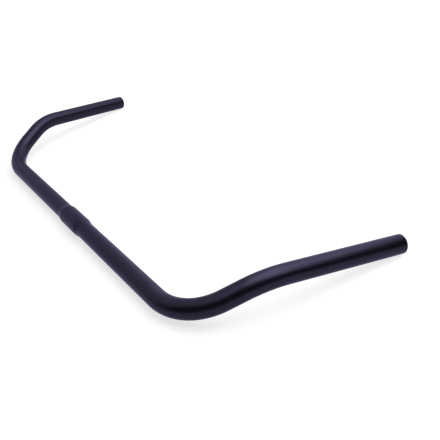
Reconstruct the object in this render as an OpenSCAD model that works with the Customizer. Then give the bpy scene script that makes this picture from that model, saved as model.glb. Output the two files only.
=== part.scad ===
// Swept-back bicycle handlebar: one bent, hollow tube with a swelled middle for the stem.
// Lengths are in millimetres and angles in degrees.
// Frame: the origin is the middle of the clamp area, on its axis. +X is the rider's right,
// +Y is forward, and +Z is up from the flat surface that the loose bar rests on: it stands on
// the underside of the swelling and on the lower rims of both tube ends.
// Both halves are bent the same way, so each size of a half is written once.

/* [Tube] */
// Outer diameter of the tube, which the grips and the brake levers fit
tube_diameter = 22.2; // [22:0.1:23.8]
// Wall thickness of the tube, the same all along
wall = 2.2; // [1.2:0.1:3]
// Radius of the rounded outer edge, and width of the broken inner edge, at each tube end
end_round = 0.5; // [0.2:0.1:0.5]

/* [Clamp area] */
// Outer diameter of the swelling that the stem clamps
clamp_diameter = 25.4; // [25.4:0.1:31.8]
// Length of the swelling at its full diameter
clamp_length = 35; // [20:1:60]
// Length of each curved shoulder between the swelling and the tube
shoulder_length = 15; // [12:1:30]

/* [First bend, back towards the rider] */
// Distance from the middle of the bar to the start of the first bend
centre_half = 202; // [150:1:260]
// Radius of the first bend, at the middle of the tube
first_radius = 72; // [50:1:90]
// Angle of the first bend
first_angle = 66.4; // [50:0.1:80]

/* [Leg between the bends] */
// Straight length between the two bends
leg_length = 22; // [10:1:60]

/* [Second bend, down to the grips] */
// Radius of the second bend, at the middle of the tube
second_radius = 85; // [60:1:110]
// Angle of the second bend
second_angle = 30.8; // [20:0.1:45]
// Turn of the second bend about the leg, from the plane of the first bend towards the floor
second_turn = 73; // [60:0.5:90]

/* [Grip area] */
// Straight length that takes the grip and the lever, from the second bend to the tube's end
grip_length = 145; // [110:1:200]

/* [Finish] */
// Colour of the black anodised surface
finish_colour = [0.18, 0.17, 0.23];

/* [Hidden] */

$fn = 96;

half_turn = 180;
quarter_turn = 90;

// Length by which a cutting shape passes the face that it cuts
overrun = 2;

// A ball closes each joint of a bend and a straight, which end just short of each other there.
// It meets both at half its seam's width, and stands out by about a hundredth of a millimetre,
// so that the pieces close into one solid without surfaces that only touch.
seam_half = 0.5;
joint_gap = 0.1;

// Chords that each arc of a shoulder is drawn with
arc_chords = 10;

tube_r = tube_diameter / 2;
bore_r = tube_r - wall;
round_start = grip_length - end_round;
clamp_r = clamp_diameter / 2;
clamp_half = clamp_length / 2;

// Step of the shoulders, and the radius and the sweep of the two equal, opposite arcs of each
shoulder_step = clamp_r - tube_r;
shoulder_arc = (shoulder_length * shoulder_length + shoulder_step * shoulder_step)
               / (4 * shoulder_step);
shoulder_sweep = asin(shoulder_length / (2 * shoulder_arc));

// Rounds of the rest angle's estimate, each of which brings it far closer
rest_rounds = 8;

// A half is followed as a walk: [point, direction, direction that the next bend turns to]
function straight(walk, length) =
    [walk[0] + length * walk[1], walk[1], walk[2]];
function bend(walk, radius, angle) =
    [walk[0] + radius * (sin(angle) * walk[1] + (1 - cos(angle)) * walk[2]),
     cos(angle) * walk[1] + sin(angle) * walk[2],
     cos(angle) * walk[2] - sin(angle) * walk[1]];
function turn(walk, angle) =
    [walk[0], walk[1], cos(angle) * walk[2] + sin(angle) * cross(walk[1], walk[2])];

// The right half with its first bend laid flat: +X outwards, +Y to the rider and +Z down.
// It ends where the rounding of the tube's end starts.
flat_start = [[0, 0, 0], [1, 0, 0], [0, 1, 0]];
flat_leg = straight(bend(straight(flat_start, centre_half), first_radius, first_angle), leg_length);
flat_end = straight(bend(turn(flat_leg, second_turn), second_radius, second_angle),
                    round_start);
end_back = flat_end[0][1];
end_down = flat_end[0][2];
end_reach = norm([end_back, end_down]);
end_bearing = atan2(end_down, end_back);

// Rise of the grip's direction once the flat half is raised about X by an angle
function grip_rise(angle) = sin(angle) * flat_end[1][1] - cos(angle) * flat_end[1][2];

// Height of the tube's axis above the lowest point of the rounding at its end
function end_height(rise) = (tube_r - end_round) * sqrt(1 - rise * rise) + end_round;

// Angle of the first bend's plane above the floor at which the swelling and both ends touch it
function rest_angle(angle, rounds) =
    rounds < 1 ? angle
    : rest_angle(end_bearing + asin((end_height(grip_rise(angle)) - clamp_r) / end_reach), rounds - 1);
plane_angle = rest_angle(0, rest_rounds);

// Solid rod along +X, just clear of the joints at both ends
module rod(radius, length) {
    translate([joint_gap, 0, 0])
        rotate([0, quarter_turn, 0])
            cylinder(r = radius, h = length - 2 * joint_gap);
}

// Ball that closes the joint at the origin
module joint(radius) {
    rotate([0, quarter_turn, 0])
        sphere(r = norm([radius, seam_half]));
}

// Solid bend that starts at the origin along +X and turns towards +Y
module elbow(radius, bend_radius, angle) {
    translate([0, bend_radius, 0])
        rotate([0, 0, -quarter_turn])
            rotate_extrude(angle = angle)
                translate([bend_radius, 0])
                    circle(r = radius);
}

// Places what follows at the far end of such a bend
module past_elbow(bend_radius, angle) {
    translate([bend_radius * sin(angle), bend_radius * (1 - cos(angle)), 0])
        rotate([0, 0, angle])
            children();
}

// Places what follows at the start of the grip area, from the start of the first bend
module past_bends(side) {
    past_elbow(first_radius, first_angle)
        translate([leg_length, 0, 0])
            rotate([side * second_turn, 0, 0])
                past_elbow(second_radius, second_angle)
                    children();
}

// Places what follows at the start of the first bend, on the rider's right (1) or left (-1)
module on_side(side) {
    rotate([0, 0, side > 0 ? 0 : half_turn])
        rotate([side > 0 ? half_turn - plane_angle : plane_angle, 0, 0])
            translate([centre_half, 0, 0])
                children();
}

// Solid bends of one side, with the leg between them and all four joints
module bends(radius, side) {
    joint(radius);
    elbow(radius, first_radius, first_angle);
    past_elbow(first_radius, first_angle) {
        joint(radius);
        rod(radius, leg_length);
        translate([leg_length, 0, 0])
            rotate([side * second_turn, 0, 0]) {
                joint(radius);
                elbow(radius, second_radius, second_angle);
                past_elbow(second_radius, second_angle)
                    joint(radius);
            }
    }
}

// Solid grip area along +X, with its outer edge rounded
module grip_body() {
    rotate([0, quarter_turn, 0])
        rotate_extrude() {
            translate([0, joint_gap])
                square([tube_r, round_start - joint_gap]);
            translate([0, round_start])
                square([tube_r - end_round, end_round]);
            translate([tube_r - end_round, round_start])
                intersection() {
                    circle(r = end_round);
                    square(end_round);
                }
        }
}

// What the grip area's bore takes out, with the inner edge broken at 45 degrees
module grip_bore() {
    rotate([0, quarter_turn, 0])
        rotate_extrude()
            polygon([
                [0, joint_gap],
                [bore_r, joint_gap],
                [bore_r, round_start],
                [bore_r + end_round + overrun, grip_length + overrun],
                [0, grip_length + overrun]
            ]);
}

// Points of one shoulder as [radius, distance from the middle]: the convex arc that leaves the
// swelling, then the concave one that runs out on the tube. The depth moves both arcs inwards.
function shoulder_points(depth) = concat(
    [for (i = [0 : arc_chords])
        let (at = shoulder_sweep * i / arc_chords)
        [clamp_r - shoulder_arc + (shoulder_arc - depth) * cos(at),
         clamp_half + (shoulder_arc - depth) * sin(at)]],
    [for (i = [arc_chords - 1 : -1 : 0])
        let (at = shoulder_sweep * i / arc_chords)
        [tube_r + shoulder_arc - (shoulder_arc + depth) * cos(at),
         clamp_half + shoulder_length - (shoulder_arc + depth) * sin(at)]]);

// Outline of half the middle: the half swelling, its shoulder and the straight up to the bend
function middle_points(depth) = concat(
    shoulder_points(depth),
    [[tube_r - depth, centre_half - joint_gap]]);

// Solid middle, with the swelling, between the two first bends
module middle(depth) {
    right = middle_points(depth);
    left = [for (i = [len(right) - 1 : -1 : 0]) [right[i][0], -right[i][1]]];
    rotate([0, quarter_turn, 0])
        rotate_extrude()
            polygon(concat(
                [[0, joint_gap - centre_half]],
                left,
                right,
                [[0, centre_half - joint_gap]]
            ));
}

// The whole bar as a solid, at a depth inside its surface, with the children as its grip areas
module solid_bar(depth) {
    middle(depth);
    for (side = [-1, 1])
        on_side(side) {
            bends(tube_r - depth, side);
            past_bends(side)
                children();
        }
}

module bar() {
    color(finish_colour)
        difference() {
            solid_bar(0)
                grip_body();
            solid_bar(wall)
                grip_bore();
        }
}

bar();
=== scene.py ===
"""Dressed scene of a swept-back bicycle handlebar, one bent and hollow tube.

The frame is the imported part's: the origin is the middle of the clamp area, +X is the rider's
right, +Y is forward, and +Z is up from the surface that the loose bar rests on. Sizes of the
bar are in millimetres, as in the part's source, and those of the studio are in metres. Angles
are in degrees.
"""

import logging
import math
from dataclasses import dataclass, field
from enum import Enum
from typing import Any

import bpy
import numpy as np
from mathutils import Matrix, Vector

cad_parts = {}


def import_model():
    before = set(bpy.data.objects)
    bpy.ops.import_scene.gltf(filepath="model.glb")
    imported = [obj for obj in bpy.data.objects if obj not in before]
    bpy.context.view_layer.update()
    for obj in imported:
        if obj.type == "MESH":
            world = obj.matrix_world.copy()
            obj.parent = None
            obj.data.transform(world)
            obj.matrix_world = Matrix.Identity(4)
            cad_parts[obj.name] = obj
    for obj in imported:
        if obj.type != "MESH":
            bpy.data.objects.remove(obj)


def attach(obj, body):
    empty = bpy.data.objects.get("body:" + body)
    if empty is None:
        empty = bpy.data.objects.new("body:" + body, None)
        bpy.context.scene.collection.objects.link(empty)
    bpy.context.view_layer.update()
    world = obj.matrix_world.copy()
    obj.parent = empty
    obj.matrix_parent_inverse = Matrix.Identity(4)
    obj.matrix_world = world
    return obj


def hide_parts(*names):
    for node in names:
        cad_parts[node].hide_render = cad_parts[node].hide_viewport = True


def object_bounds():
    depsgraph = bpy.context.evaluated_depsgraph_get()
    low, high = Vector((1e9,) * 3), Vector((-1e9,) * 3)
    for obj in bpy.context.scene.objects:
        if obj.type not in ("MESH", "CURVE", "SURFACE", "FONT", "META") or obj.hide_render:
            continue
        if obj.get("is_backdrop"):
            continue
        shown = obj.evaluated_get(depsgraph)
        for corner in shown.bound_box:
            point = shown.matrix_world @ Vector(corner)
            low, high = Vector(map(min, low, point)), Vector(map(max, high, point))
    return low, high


LOG = logging.getLogger("handlebar")
METRES_PER_MM = 0.001

# Attribute that holds where each point of the tube was before the tube was bent
UNBENT = "unbent"

# Numbers of a Mix node's sockets, several of which have the same name
MIX_FACTOR = 0
NUMBER_A, NUMBER_B, MIXED_NUMBER = 2, 3, 0
COLOUR_A, COLOUR_B, MIXED_COLOUR = 6, 7, 2


def linear(colour: str) -> tuple[float, float, float, float]:
    """Turn an sRGB hex colour to the linear values that a shader takes.

    Args:
        colour: Six hex digits after a hash sign.

    Returns:
        Linear red, green, blue and an alpha of one. Each channel c, from 0 to 1, is c / 12.92
        up to 0.04045 and ((c + 0.055) / 1.055) to the power of 2.4 above it.
    """
    channels = [int(colour[i:i + 2], 16) / 255 for i in (1, 3, 5)]
    red, green, blue = (
        c / 12.92 if c <= 0.04045 else ((c + 0.055) / 1.055) ** 2.4 for c in channels
    )
    return red, green, blue, 1.0


def add_node(
    tree: bpy.types.NodeTree,
    kind: str,
    values: dict[str | int, Any] | None = None,
    links: dict[str | int, bpy.types.NodeSocket] | None = None,
    **settings: Any,
) -> bpy.types.Node:
    """Add a node with its settings, socket values and links.

    Args:
        tree: The node tree of a material or of the world.
        kind: The node's type name.
        values: Values by the name or the number of an input socket.
        links: Output sockets to link, by the name or the number of an input socket.
        **settings: The node's own settings.

    Returns:
        The new node.
    """
    node = tree.nodes.new(kind)
    for name, setting in settings.items():
        setattr(node, name, setting)
    for socket, value in (values or {}).items():
        node.inputs[socket].default_value = value
    for socket, output in (links or {}).items():
        tree.links.new(output, node.inputs[socket])
    return node


def new_material(name: str) -> tuple[bpy.types.Material, bpy.types.NodeTree]:
    """Make a material with an empty node tree.

    Args:
        name: The material's name.

    Returns:
        The material and its node tree.
    """
    material = bpy.data.materials.new(name)
    material.use_nodes = True
    material.node_tree.nodes.clear()
    return material, material.node_tree


def seen_or_mirrored(tree: bpy.types.NodeTree) -> bpy.types.NodeSocket:
    """Tell the rays that show a background from those that light the object.

    Args:
        tree: The node tree of a material or of the world.

    Returns:
        A socket that is one for camera, glossy and transmission rays, and zero for the rest.
    """
    rays = add_node(tree, "ShaderNodeLightPath")
    shown = add_node(
        tree, "ShaderNodeMath", operation="MAXIMUM",
        links={0: rays.outputs["Is Camera Ray"], 1: rays.outputs["Is Glossy Ray"]},
    )
    return add_node(
        tree, "ShaderNodeMath", operation="MAXIMUM",
        links={0: shown.outputs[0], 1: rays.outputs["Is Transmission Ray"]},
    ).outputs[0]


def put_in_scene(
    name: str, data: bpy.types.Mesh | bpy.types.Light | bpy.types.Camera
) -> bpy.types.Object:
    """Make an object at the origin and link it to the scene.

    Args:
        name: The object's name.
        data: Its mesh, lamp or camera.

    Returns:
        The new object.
    """
    placed = bpy.data.objects.new(name, data)
    bpy.context.scene.collection.objects.link(placed)
    return placed


def round_the_circle(count: int) -> tuple[np.ndarray, np.ndarray]:
    """Space points evenly round a circle.

    Args:
        count: Number of points.

    Returns:
        The cosines and the sines of the points' angles, where point k is at the k-th part of a
        full turn.
    """
    turn = np.arange(count) * 2 * math.pi / count
    return np.cos(turn), np.sin(turn)


def grid_faces(rows: int, columns: int) -> np.ndarray:
    """List the quads of a grid that is closed both ways.

    Args:
        rows: Number of rings.
        columns: Number of points on each ring.

    Returns:
        Four vertex numbers per quad, where vertex (i, j) has number i * columns + j and the
        quad at (i, j) also takes the next ring and the next point, counted round the ends.
    """
    i, j = np.meshgrid(np.arange(rows), np.arange(columns), indexing="ij")
    next_i, next_j = (i + 1) % rows, (j + 1) % columns
    corners = [i * columns + j, next_i * columns + j,
               next_i * columns + next_j, i * columns + next_j]
    return np.stack(corners, axis=-1).reshape(-1, 4)


class Surface(Enum):
    """The kinds of surface that the closed outline of the tube's wall runs over."""

    SKIN = "outer skin, blasted and anodised"
    EDGE = "rounded or broken edge at a tube end"
    BORE = "inside of the tube, as drawn"


@dataclass(frozen=True)
class BlackAnodisedAlloy:
    """Black-dyed anodised aluminium tube, drawn, blasted with fine beads, then dyed.

    To the eye it is a dark satin mirror: the dye sits in a clear oxide skin over bright
    metal, so that highlights and darks have the same faint violet cast, and the blasting
    blurs what it mirrors. The turned rims of the ends were not blasted and look crisper, and
    the inside, left as drawn, is duller.
    """

    name: str = "black_anodised_alloy"
    # Colours that the metal gives to what it mirrors: on the skin, on the skin where it took
    # less dye, and inside
    dye: str = "#252331"
    pale_dye: str = "#2a2836"
    bore_dye: str = "#2c2a2c"
    # The same at a glancing angle, all over
    glancing_tint: str = "#dad7ed"
    # Roughness of each kind of surface, and how far the skin's strays from it either way
    rough_skin: float = 0.36
    rough_edge: float = 0.24
    rough_bore: float = 0.5
    rough_spread: float = 0.03
    # Width of the clouds, width and height of the blasting's grain, and width and length of
    # the drawing's lines
    cloud_mm: float = 45.0
    grain_mm: float = 0.7
    grain_height_mm: float = 0.07
    line_mm: float = 0.9
    line_length_mm: float = 120.0
    # Finer layers in each noise, how much each one counts, and the range of most values
    noise_detail: float = 2.0
    noise_falloff: float = 0.55
    noise_low: float = 0.3
    noise_high: float = 0.7

    def build(self) -> bpy.types.Material:
        """Make the material.

        Returns:
            The material. Clouds a few fingers wide shift dye and gloss a little, as a dye bath
            leaves them, and the skin has faint lines along the tube from the drawing and a
            grain from the blasting. Real lines and grain are near 0.1 mm wide and would not
            show, so the grain is drawn seven times coarser and the lines nine times.
        """
        material, tree = new_material(self.name)
        place = add_node(tree, "ShaderNodeTexCoord").outputs["Object"]
        clouds = self.noise(tree, place, (self.cloud_mm,) * 3)
        share = {
            kind: add_node(
                tree, "ShaderNodeAttribute", attribute_name=kind.name.lower()
            ).outputs["Fac"]
            for kind in Surface
        }
        shader = add_node(
            tree, "ShaderNodeBsdfPrincipled",
            {"Metallic": 1.0, "Specular Tint": linear(self.glancing_tint)},
            {"Base Color": self.colour(tree, clouds, share),
             "Roughness": self.roughness(tree, clouds, share),
             "Normal": self.relief(tree, place, share)},
        )
        add_node(tree, "ShaderNodeOutputMaterial", links={"Surface": shader.outputs[0]})
        return material

    def colour(
        self,
        tree: bpy.types.NodeTree,
        clouds: bpy.types.NodeSocket,
        share: dict[Surface, bpy.types.NodeSocket],
    ) -> bpy.types.NodeSocket:
        """Mix the dye's colours.

        Args:
            tree: The material's node tree.
            clouds: Noise that says how pale the dye is.
            share: How far a point belongs to each kind of surface.

        Returns:
            The colour, cloudy on the skin and plain in the bore.
        """
        skin = add_node(
            tree, "ShaderNodeMix",
            {COLOUR_A: linear(self.dye), COLOUR_B: linear(self.pale_dye)},
            {MIX_FACTOR: clouds}, data_type="RGBA",
        )
        return add_node(
            tree, "ShaderNodeMix", {COLOUR_B: linear(self.bore_dye)},
            {MIX_FACTOR: share[Surface.BORE], COLOUR_A: skin.outputs[MIXED_COLOUR]},
            data_type="RGBA",
        ).outputs[MIXED_COLOUR]

    def roughness(
        self,
        tree: bpy.types.NodeTree,
        clouds: bpy.types.NodeSocket,
        share: dict[Surface, bpy.types.NodeSocket],
    ) -> bpy.types.NodeSocket:
        """Mix the surfaces' roughness.

        Args:
            tree: The material's node tree.
            clouds: Noise that the skin's roughness follows.
            share: How far a point belongs to each kind of surface.

        Returns:
            The roughness. On the skin it strays with the sum of the clouds and of the lines
            that drawing leaves, which follow the tube round its bends.
        """
        unbent = add_node(tree, "ShaderNodeAttribute", attribute_name=UNBENT).outputs["Vector"]
        lines = self.noise(tree, unbent, (self.line_length_mm, self.line_mm, self.line_mm))
        uneven = add_node(
            tree, "ShaderNodeMath", links={0: clouds, 1: lines}, operation="ADD",
        )
        rough = add_node(
            tree, "ShaderNodeMapRange",
            {"From Min": 2 * self.noise_low, "From Max": 2 * self.noise_high,
             "To Min": self.rough_skin - self.rough_spread,
             "To Max": self.rough_skin + self.rough_spread},
            {"Value": uneven.outputs[0]},
        ).outputs[0]
        for kind, value in ((Surface.EDGE, self.rough_edge), (Surface.BORE, self.rough_bore)):
            rough = add_node(
                tree, "ShaderNodeMix", {NUMBER_B: value},
                {MIX_FACTOR: share[kind], NUMBER_A: rough}, data_type="FLOAT",
            ).outputs[MIXED_NUMBER]
        return rough

    def relief(
        self,
        tree: bpy.types.NodeTree,
        place: bpy.types.NodeSocket,
        share: dict[Surface, bpy.types.NodeSocket],
    ) -> bpy.types.NodeSocket:
        """Raise the blasting's grain on the skin.

        Args:
            tree: The material's node tree.
            place: Coordinates in metres.
            share: How far a point belongs to each kind of surface.

        Returns:
            The surface's direction with the grain.
        """
        grain = self.noise(tree, place, (self.grain_mm,) * 3)
        blasted = add_node(
            tree, "ShaderNodeMath", links={0: grain, 1: share[Surface.SKIN]},
            operation="MULTIPLY",
        )
        return add_node(
            tree, "ShaderNodeBump", {"Distance": self.grain_height_mm * METRES_PER_MM},
            {"Height": blasted.outputs[0]},
        ).outputs[0]

    def noise(
        self,
        tree: bpy.types.NodeTree,
        place: bpy.types.NodeSocket,
        sizes: tuple[float, float, float],
    ) -> bpy.types.NodeSocket:
        """Add a noise whose spots have the given sizes.

        Args:
            tree: The material's node tree.
            place: Coordinates in metres.
            sizes: Size of a spot along each axis, in millimetres.

        Returns:
            The noise, from 0 to 1 and mostly between its low and high values.
        """
        scaled = add_node(
            tree, "ShaderNodeMapping", {"Scale": [1 / (mm * METRES_PER_MM) for mm in sizes]},
            {"Vector": place},
        )
        return add_node(
            tree, "ShaderNodeTexNoise",
            {"Scale": 1.0, "Detail": self.noise_detail, "Roughness": self.noise_falloff},
            {"Vector": scaled.outputs[0]},
        ).outputs["Fac"]


@dataclass(frozen=True)
class Course:
    """Middle line of the tube: points, and two unit vectors square to it at each point."""

    points: np.ndarray
    first_across: np.ndarray
    second_across: np.ndarray


@dataclass
class Handlebar:
    """The bent tube. The sizes up to the grip's are those of the part's source."""

    tube_diameter: float = 22.2
    wall: float = 2.2
    end_round: float = 0.5
    clamp_diameter: float = 25.4
    clamp_length: float = 35.0
    shoulder_length: float = 15.0
    centre_half: float = 202.0
    first_radius: float = 72.0
    first_angle: float = 66.4
    leg_length: float = 22.0
    second_radius: float = 85.0
    second_angle: float = 30.8
    second_turn: float = 73.0
    grip_length: float = 145.0
    # Rounds of the rest angle's estimate, each of which brings it far closer
    rest_rounds: int = 8
    # Points round the tube, and the longest steps along it on each kind of stretch
    around: int = 96
    straight_step: float = 8.0
    bend_step: float = 1.6
    shoulder_step: float = 1.0
    # Chords of each rounded outer edge, and the size of the small bevels on both corners of
    # each broken inner edge, as a share of its width
    edge_chords: int = 6
    corner_share: float = 0.08
    finish: BlackAnodisedAlloy = field(default_factory=BlackAnodisedAlloy)

    @property
    def lengths(self) -> list[float]:
        """Measure the stretches of half the middle line.

        Returns:
            The lengths of half the middle, the first bend, the leg, the second bend and the
            grip area. A bend's is its radius times its angle in radians.
        """
        return [
            self.centre_half,
            self.first_radius * math.radians(self.first_angle),
            self.leg_length,
            self.second_radius * math.radians(self.second_angle),
            self.grip_length,
        ]

    @property
    def half_length(self) -> float:
        """Length of half the middle line."""
        return sum(self.lengths)

    def flat_half(self, distance: np.ndarray) -> Course:
        """Follow half the middle line with its first bend laid flat.

        Args:
            distance: Distances from the middle of the bar, none below zero.

        Returns:
            The course with +X outwards, +Y to the rider and +Z down. With a and b the angles
            turned so far in the two bends, each the distance gone in it over its radius, the
            turned axes are Rz(a) K(b), where Rz turns about Z and K about the second bend's
            axis, and each stretch adds its length along the turned X axis, or its chord.
        """
        ends = np.cumsum(self.lengths)
        gone = [np.clip(distance - start, 0, length)
                for start, length in zip(ends - self.lengths, self.lengths)]
        a, b = gone[1] / self.first_radius, gone[3] / self.second_radius
        tilt = math.radians(self.second_turn)
        nil, one = np.zeros_like(distance), np.ones_like(distance)
        first = np.array([[np.cos(a), -np.sin(a), nil],
                          [np.sin(a), np.cos(a), nil],
                          [nil, nil, one]]).transpose(2, 0, 1)
        inward = np.array([0.0, math.cos(tilt), math.sin(tilt)])
        axis = np.array([0.0, -math.sin(tilt), math.cos(tilt)])
        cross = np.array([[0, -axis[2], axis[1]], [axis[2], 0, -axis[0]], [-axis[1], axis[0], 0]])
        second = (np.eye(3) + np.sin(b)[:, None, None] * cross
                  + (1 - np.cos(b))[:, None, None] * (cross @ cross))
        turned = first @ second
        ahead = np.array([1.0, 0.0, 0.0])
        sideways = np.array([0.0, 1.0, 0.0])
        chord = self.first_radius * (np.sin(a)[:, None] * ahead
                                     + (1 - np.cos(a))[:, None] * sideways)
        second_chord = self.second_radius * (np.sin(b)[:, None] * ahead
                                             + (1 - np.cos(b))[:, None] * inward)
        points = (gone[0][:, None] * ahead + chord + gone[2][:, None] * first[:, :, 0]
                  + np.einsum("nij,nj->ni", first, second_chord)
                  + gone[4][:, None] * turned[:, :, 0])
        return Course(points, turned[:, :, 1], turned[:, :, 2])

    def rest_angle(self) -> float:
        """Find how far the first bends' plane is raised about X where the bar stands.

        Returns:
            The angle, in radians, at which the swelling and both rounded end edges touch the
            floor. An edge's lowest point is (r - e) * sqrt(1 - s * s) + e below the tube's
            middle line, with r the tube's radius, e the rounding's and s the rise of the
            line's direction, and the angle is found again from that until it stays.
        """
        tube, clamp = self.tube_diameter / 2, self.clamp_diameter / 2
        end = self.flat_half(np.array([self.half_length - self.end_round]))
        back, down = end.points[0, 1:]
        ahead = np.cross(end.first_across[0], end.second_across[0])
        angle = 0.0
        for _ in range(self.rest_rounds):
            rise = math.sin(angle) * ahead[1] - math.cos(angle) * ahead[2]
            height = (tube - self.end_round) * math.sqrt(1 - rise * rise) + self.end_round
            angle = math.atan2(down, back) + math.asin((height - clamp) / math.hypot(back, down))
        return angle

    def course(self, distance: np.ndarray) -> Course:
        """Follow the whole middle line from the left end to the right one.

        Args:
            distance: Distances from the middle of the bar, below zero on the left.

        Returns:
            The course in the part's frame: each half raised about X by the rest angle p, so
            that y is -cos(p) Y - sin(p) Z and z is sin(p) Y - cos(p) Z of the flat half, and
            mirrored in X on the left.
        """
        flat = self.flat_half(np.abs(distance))
        p = self.rest_angle()
        raised = np.array([[1, 0, 0],
                           [0, -math.cos(p), -math.sin(p)],
                           [0, math.sin(p), -math.cos(p)]])
        mirror = np.ones((len(distance), 3))
        mirror[distance < 0, 0] = -1
        return Course(*(mirror * (part @ raised.T)
                        for part in (flat.points, flat.first_across, flat.second_across)))

    def radius_at(self, distance: np.ndarray, depth: float) -> np.ndarray:
        """Radius of the skin, or of the bore, along the tube.

        Args:
            distance: Distances from the middle of the bar, of either sign.
            depth: Depth d below the skin, such as the wall's thickness for the bore.

        Returns:
            The clamp radius c on the swelling and the tube's t beyond the shoulders, less the
            depth. A shoulder is two equal arcs of opposite bend, with radius R = (l * l +
            s * s) / 4 s for its length l and step s. At x past the swelling the first gives
            c - R + sqrt((R - d)^2 - x^2) and the second t + R - sqrt((R + d)^2 - (l - x)^2).
        """
        tube, clamp = self.tube_diameter / 2, self.clamp_diameter / 2
        length, step = self.shoulder_length, clamp - tube
        arc = (length * length + step * step) / (4 * step)
        x = np.clip(np.abs(distance) - self.clamp_length / 2, 0, length)
        change = (arc - depth) * length / (2 * arc)
        near, far = np.minimum(x, change), length - np.maximum(x, change)
        convex = clamp - arc + np.sqrt((arc - depth) ** 2 - near * near)
        concave = tube + arc - np.sqrt((arc + depth) ** 2 - far * far)
        return np.where(x <= change, convex, concave)

    def stations(self) -> np.ndarray:
        """List the distances from the middle at which rings stand, up to the end's rounding.

        Returns:
            Distances on the right half, closer together on the shoulders and in the bends,
            with a ring at every place where the form changes.
        """
        swelling = self.clamp_length / 2
        marks = [0.0, swelling, swelling + self.shoulder_length, *np.cumsum(self.lengths)]
        marks[-1] -= self.end_round
        steps = [self.straight_step, self.shoulder_step, self.straight_step, self.bend_step,
                 self.straight_step, self.bend_step, self.straight_step]
        runs = [np.linspace(start, stop, math.ceil((stop - start) / step), endpoint=False)
                for start, stop, step in zip(marks, marks[1:], steps)]
        return np.concatenate([*runs, marks[-1:]])

    def wall_outline(self) -> tuple[np.ndarray, np.ndarray, dict[Surface, np.ndarray]]:
        """Outline of the wall, cut open along the tube, as one closed line.

        Returns:
            The distances and the radii of its points, and for each surface how far each point
            belongs to it, from 0 to 1. The line runs over the skin to the right end, round
            the outer edge in a quarter circle, over the flat rim and the inner edge, broken
            at 45 degrees, back through the bore, and round the left end in the same way.
        """
        tube, bore = self.tube_diameter / 2, self.tube_diameter / 2 - self.wall
        edge, end = self.end_round, self.half_length
        bevel = edge * self.corner_share
        half = self.stations()
        skin_at = np.concatenate([-half[:0:-1], half])
        skin_radius = self.radius_at(skin_at, 0)
        bore_half = half[:-1]
        bore_at = np.concatenate([bore_half[::-1], -bore_half[1:]])
        bore_radius = self.radius_at(bore_at, self.wall)
        sweep = np.linspace(0, math.pi / 2, self.edge_chords + 1)[1:]
        end_at = np.concatenate([
            end - edge + edge * np.sin(sweep),
            [end, end - bevel, end - edge + bevel, end - edge, end - edge - bevel],
        ])
        end_radius = np.concatenate([
            tube - edge + edge * np.cos(sweep),
            [bore + edge + bevel, bore + edge - bevel, bore + bevel, bore, bore],
        ])
        at = np.concatenate([skin_at, end_at, bore_at, -end_at[::-1]])
        radius = np.concatenate([skin_radius, end_radius, bore_radius, end_radius[::-1]])
        # The last point of each end is already on the bore
        edge_points, bore_points = len(end_at) - 1, len(bore_at) + 2
        kinds = np.repeat(
            [Surface.SKIN.name, Surface.EDGE.name, Surface.BORE.name, Surface.EDGE.name],
            [len(skin_at), edge_points, bore_points, edge_points],
        )
        shares = {kind: (kinds == kind.name).astype(np.float32) for kind in Surface}
        return at, radius, shares

    def build(self) -> bpy.types.Object:
        """Make the tube, with all that its finish reads.

        Returns:
            The object, at the origin. Point (i, j) is at the middle line's point i plus the
            radius times cos(f) of the one and sin(f) of the other vector across the line,
            with f the j-th part of a full turn.
        """
        at, radius, shares = self.wall_outline()
        course = self.course(at)
        cosine, sine = round_the_circle(self.around)
        out = (cosine[None, :, None] * course.first_across[:, None, :]
               + sine[None, :, None] * course.second_across[:, None, :])
        points = (course.points[:, None, :] + radius[:, None, None] * out) * METRES_PER_MM
        faces = grid_faces(len(at), self.around)[:, ::-1]
        mesh = bpy.data.meshes.new("bent_tube")
        mesh.from_pydata(points.reshape(-1, 3), [], faces)
        self.mark_surfaces(mesh, shares)
        self.keep_unbent(mesh, at, radius)
        self.unwrap(mesh, at, radius)
        mesh.polygons.foreach_set("use_smooth", np.ones(len(faces), dtype=bool))
        mesh.update()
        return put_in_scene("bent_tube", mesh)

    def mark_surfaces(self, mesh: bpy.types.Mesh, shares: dict[Surface, np.ndarray]) -> None:
        """Write one attribute per kind of surface, which the finish reads.

        Args:
            mesh: The tube's mesh.
            shares: How far each point of the wall's outline belongs to each surface.
        """
        for kind, share in shares.items():
            weights = mesh.attributes.new(kind.name.lower(), "FLOAT", "POINT")
            weights.data.foreach_set("value", np.repeat(share, self.around))

    def keep_unbent(self, mesh: bpy.types.Mesh, at: np.ndarray, radius: np.ndarray) -> None:
        """Write where each point was before the tube was bent, for the lines along the tube.

        The place is (distance, radius * cos(f), radius * sin(f)), with f as in build().

        Args:
            mesh: The tube's mesh.
            at: Distances of the outline's points from the middle of the bar.
            radius: Their radii.
        """
        cosine, sine = round_the_circle(self.around)
        straight = np.stack([
            np.repeat(at, self.around),
            np.outer(radius, cosine).ravel(),
            np.outer(radius, sine).ravel(),
        ], axis=-1) * METRES_PER_MM
        unbent = mesh.attributes.new(UNBENT, "FLOAT_VECTOR", "POINT")
        unbent.data.foreach_set("vector", straight.ravel())

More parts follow.
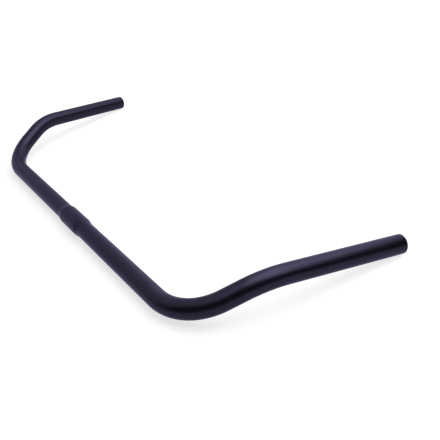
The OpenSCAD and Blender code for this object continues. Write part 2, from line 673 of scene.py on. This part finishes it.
    def unwrap(self, mesh: bpy.types.Mesh, at: np.ndarray, radius: np.ndarray) -> None:
        """Write the UV map.

        U is the length gone along the outline and V the angle gone round the tube, both as
        parts of the whole, so that a face at either seam ends at 1 and not at 0.

        Args:
            mesh: The tube's mesh.
            at: Distances of the outline's points from the middle of the bar.
            radius: Their radii.
        """
        steps = np.hypot(np.diff(at, append=at[:1]), np.diff(radius, append=radius[:1]))
        reach = np.concatenate([[0.0], np.cumsum(steps)]) / steps.sum()
        i, j = np.divmod(np.arange(len(mesh.polygons)), self.around)
        low, high = reach[i], reach[i + 1]
        left, right = j / self.around, (j + 1) / self.around
        corners = np.stack([low, right, high, right, high, left, low, left], axis=-1)
        uv = mesh.uv_layers.new(name="along_and_around")
        uv.data.foreach_set("uv", corners.ravel())

    def dress(self, tube: bpy.types.Object) -> None:
        """Give the tube its finish and its place in the frame.

        Args:
            tube: The object that build() made.
        """
        tube.data.materials.append(self.finish.build())
        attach(tube, "root")
        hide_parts("bar")


@dataclass(frozen=True)
class PaleFloor:
    """Painted board under the bar.

    It is matt, and a little lit where it is seen or mirrored, so that it is white there and
    still holds the bar's shadow.
    """

    name: str = "matt_white_board"
    paint: str = "#9c9c9c"
    # Strength of that light at the bar and far from it, and where it starts and stops to grow
    lift: float = 0.7
    far_lift: float = 1.0
    near: float = 0.1
    far: float = 1.0
    # Size of the board
    radius: float = 12.0
    corners: int = 64

    def build(self, height: float) -> bpy.types.Object:
        """Make the floor, a round board.

        Args:
            height: Height of the board.

        Returns:
            The floor. Its corner k is at the radius times (cos, sin) of the k-th part of a
            full turn.
        """
        rim = np.stack(round_the_circle(self.corners), axis=-1) * self.radius
        points = np.column_stack([rim, np.full(self.corners, height)])
        mesh = bpy.data.meshes.new("floor")
        mesh.from_pydata(points, [], [list(range(self.corners))])
        mesh.materials.append(self.material())
        floor = put_in_scene("floor", mesh)
        floor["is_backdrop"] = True
        return floor

    def material(self) -> bpy.types.Material:
        """Make the board's material.

        Returns:
            Matt paint with a lift that only seen and mirrored rays meet. The lift grows with
            the distance from the bar, so that the board meets the white room unseen.
        """
        material, tree = new_material(self.name)
        paint = add_node(tree, "ShaderNodeBsdfDiffuse", {"Color": linear(self.paint)})
        place = add_node(tree, "ShaderNodeTexCoord")
        away = add_node(
            tree, "ShaderNodeVectorMath", links={0: place.outputs["Object"]},
            operation="LENGTH",
        )
        lift_here = add_node(
            tree, "ShaderNodeMapRange",
            {"From Min": self.near, "From Max": self.far,
             "To Min": self.lift, "To Max": self.far_lift},
            {"Value": away.outputs["Value"]}, interpolation_type="SMOOTHSTEP",
        )
        strength = add_node(
            tree, "ShaderNodeMath", links={0: seen_or_mirrored(tree), 1: lift_here.outputs[0]},
            operation="MULTIPLY",
        )
        lift = add_node(
            tree, "ShaderNodeEmission", links={"Strength": strength.outputs[0]},
        )
        both = add_node(
            tree, "ShaderNodeAddShader", links={0: paint.outputs[0], 1: lift.outputs[0]},
        )
        add_node(tree, "ShaderNodeOutputMaterial", links={"Surface": both.outputs[0]})
        return material


@dataclass(frozen=True)
class WhiteRoom:
    """Plain room round the bar: white where it is seen or mirrored, and dimmer as a light."""

    paint: str = "#ffffff"
    light: float = 0.2
    seen: float = 1.0

    def build(self) -> bpy.types.World:
        """Make the room.

        Returns:
            The world, with one strength for seen and mirrored rays and another for the rest.
        """
        world = bpy.data.worlds.new("white_room")
        world.use_nodes = True
        tree = world.node_tree
        tree.nodes.clear()
        strength = add_node(
            tree, "ShaderNodeMapRange", {"To Min": self.light, "To Max": self.seen},
            {"Value": seen_or_mirrored(tree)},
        )
        air = add_node(
            tree, "ShaderNodeBackground", {"Color": linear(self.paint)},
            {"Strength": strength.outputs[0]},
        )
        add_node(tree, "ShaderNodeOutputWorld", links={"Surface": air.outputs[0]})
        bpy.context.scene.world = world
        return world


@dataclass(frozen=True)
class Softbox:
    """A soft rectangular lamp that faces the middle of the space that the bar takes up."""

    name: str
    azimuth: float
    elevation: float
    distance: float
    width: float
    height: float
    radiance: float
    aim: tuple[float, float, float] = (0.0, -0.08, 0.0)

    def build(self) -> bpy.types.Object:
        """Make the lamp.

        Returns:
            The lamp, out from its aim at (sin, -cos) of its azimuth and raised by its
            elevation. Its power is pi times its area times its radiance.
        """
        lamp = bpy.data.lights.new(self.name, "AREA")
        lamp.shape = "RECTANGLE"
        lamp.size, lamp.size_y = self.width, self.height
        lamp.energy = math.pi * self.width * self.height * self.radiance
        holder = put_in_scene(self.name, lamp)
        a, e = math.radians(self.azimuth), math.radians(self.elevation)
        out = Vector((math.sin(a) * math.cos(e), -math.cos(a) * math.cos(e), math.sin(e)))
        holder.location = out * self.distance + Vector(self.aim)
        holder.rotation_euler = out.to_track_quat("Z", "Y").to_euler()
        holder.visible_camera = False
        return holder


@dataclass(frozen=True)
class GreyCard:
    """Curved grey card round the camera's side, as studios set up for polished things.

    Little light falls on it, so that it is far dimmer than the room in what the bar mirrors,
    and keeps the bar's darks deep. The camera doesn't see it.
    """

    name: str = "grey_card"
    paper: str = "#c4c4c4"
    radius: float = 2.4
    start: float = -209.0
    stop: float = 0.0
    height: float = 3.6
    columns: int = 33

    def build(self, floor_height: float) -> bpy.types.Object:
        """Make the card.

        Args:
            floor_height: Height that the card stands on.

        Returns:
            The card. Its column k stands at the radius times (sin, -cos) of an azimuth that
            goes evenly from the start to the stop.
        """
        azimuth = np.radians(np.linspace(self.start, self.stop, self.columns))
        foot = np.column_stack([
            np.sin(azimuth) * self.radius, -np.cos(azimuth) * self.radius,
            np.full(self.columns, floor_height),
        ])
        top = foot + np.array([0, 0, self.height])
        k = np.arange(self.columns - 1)
        faces = np.stack([k, k + 1, k + 1 + self.columns, k + self.columns], axis=-1)
        mesh = bpy.data.meshes.new(self.name)
        mesh.from_pydata(np.concatenate([foot, top]), [], faces)
        mesh.materials.append(self.material())
        card = put_in_scene(self.name, mesh)
        card.visible_camera = False
        card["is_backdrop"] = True
        return card

    def material(self) -> bpy.types.Material:
        """Make the card's material.

        Returns:
            Plain matt paper.
        """
        material, tree = new_material("matt_grey_paper")
        paper = add_node(tree, "ShaderNodeBsdfDiffuse", {"Color": linear(self.paper)})
        add_node(tree, "ShaderNodeOutputMaterial", links={"Surface": paper.outputs[0]})
        return material


@dataclass(frozen=True)
class PhotoCamera:
    """Camera at the photograph's viewing angle, for a square frame of 440 by 440.

    The lens and the sensor are in millimetres, and the rest is in metres and degrees.
    """

    location: tuple[float, float, float] = (-0.585837, 0.155606, 0.366659)
    turn: tuple[float, float, float] = (55.05884, 6.86049, -127.57739)
    lens: float = 42.884
    sensor: float = 36.0
    nearest: float = 0.01
    farthest: float = 100.0

    def build(self) -> bpy.types.Object:
        """Make the camera.

        Returns:
            The camera, which is now the scene's.
        """
        optics = bpy.data.cameras.new("photo_camera")
        optics.lens, optics.sensor_width = self.lens, self.sensor
        optics.clip_start, optics.clip_end = self.nearest, self.farthest
        camera = put_in_scene("photo_camera", optics)
        camera.location = self.location
        camera.rotation_euler = [math.radians(angle) for angle in self.turn]
        bpy.context.scene.camera = camera
        return camera


@dataclass(frozen=True)
class Studio:
    """Camera, floor, room, card and lamps."""

    camera: PhotoCamera = field(default_factory=PhotoCamera)
    floor: PaleFloor = field(default_factory=PaleFloor)
    room: WhiteRoom = field(default_factory=WhiteRoom)
    card: GreyCard = field(default_factory=GreyCard)
    lamps: tuple[Softbox, ...] = (
        Softbox("overhead_softbox", azimuth=-40.0, elevation=66.5, distance=0.86,
                width=1.06, height=1.06, radiance=3.5),
        Softbox("side_softbox", azimuth=27.0, elevation=30.0, distance=0.8,
                width=0.82, height=0.82, radiance=0.95),
    )

    def build(self, floor_height: float) -> None:
        """Make everything that stands round the bar.

        Args:
            floor_height: Height of the floor, which the bar rests on.
        """
        bpy.context.scene.view_settings.view_transform = "Standard"
        self.camera.build()
        self.floor.build(floor_height)
        self.room.build()
        self.card.build(floor_height)
        for lamp in self.lamps:
            lamp.build()


def main() -> None:
    """Load the frame, build and dress the bar, and set up the studio at the part's lowest height.
    """
    logging.basicConfig(level=logging.INFO, format="%(name)s: %(message)s")
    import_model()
    cad_low, cad_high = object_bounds()
    bar = Handlebar()
    tube = bar.build()
    bar.dress(tube)
    LOG.info("%s: %d faces, %.1f mm of tube", tube.name, len(tube.data.polygons),
             2 * bar.half_length)
    Studio().build(cad_low.z)


if __name__ == "__main__":
    main()
